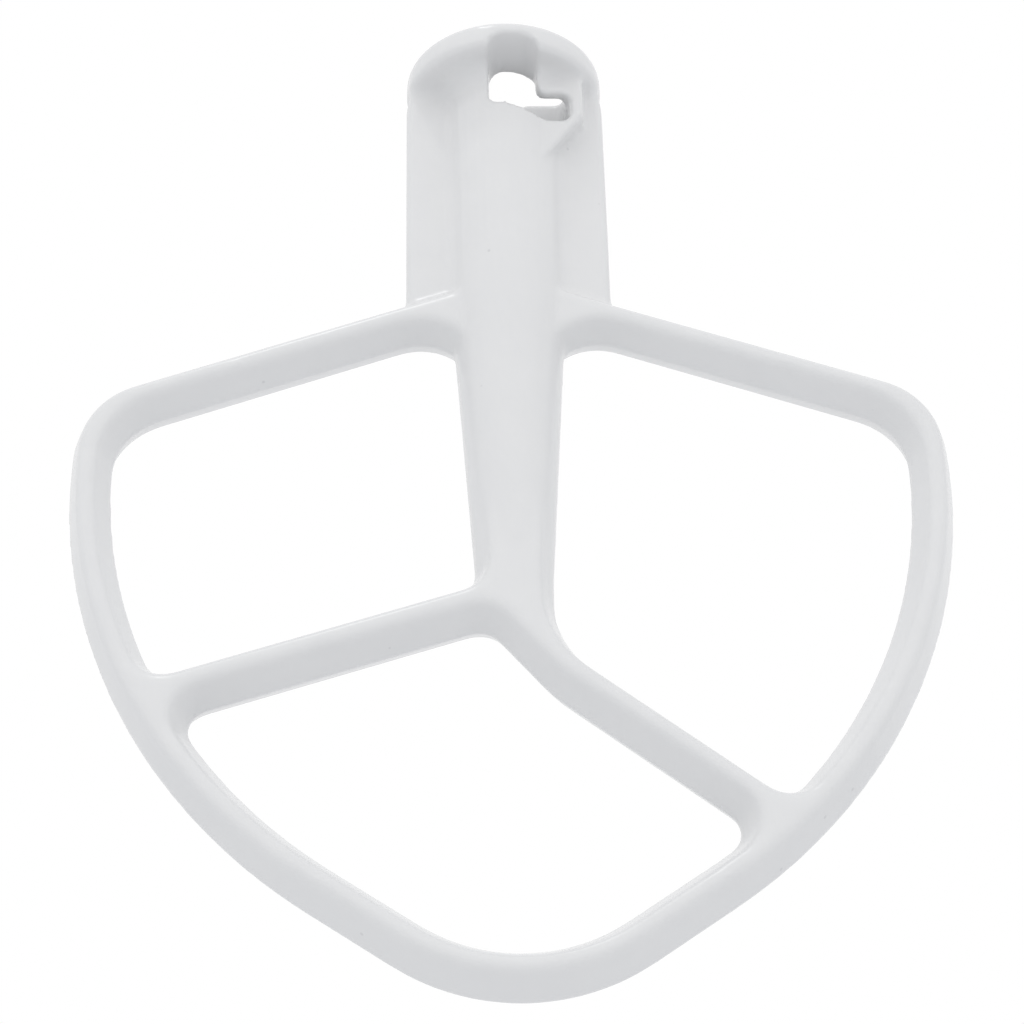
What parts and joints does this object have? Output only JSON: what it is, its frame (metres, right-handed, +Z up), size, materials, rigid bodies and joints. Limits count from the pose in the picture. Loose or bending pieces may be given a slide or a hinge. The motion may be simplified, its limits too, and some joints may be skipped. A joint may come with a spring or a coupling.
{
  "type": "stand mixer flat beater",
  "caption": "Flat beater for a stand mixer: a shield-shaped open frame with slanting struts on a round stem, hung on the drive shaft by a blind bore with a bayonet slot for its pin.",
  "frame": {"origin": "on the bore's axis, at the height of the seat of the drive shaft's pin", "axes": "+Z up along the bore, out of its mouth; X across the frame; -Y is the front, where the seat is"},
  "size_m": [0.1332, 0.0322, 0.1579],
  "materials": {
    "coating": "smooth semi-gloss white coating on cast aluminium"
  },
  "bodies": {
    "root": {"flat_beater": "coating"}
  },
  "joints": []
}
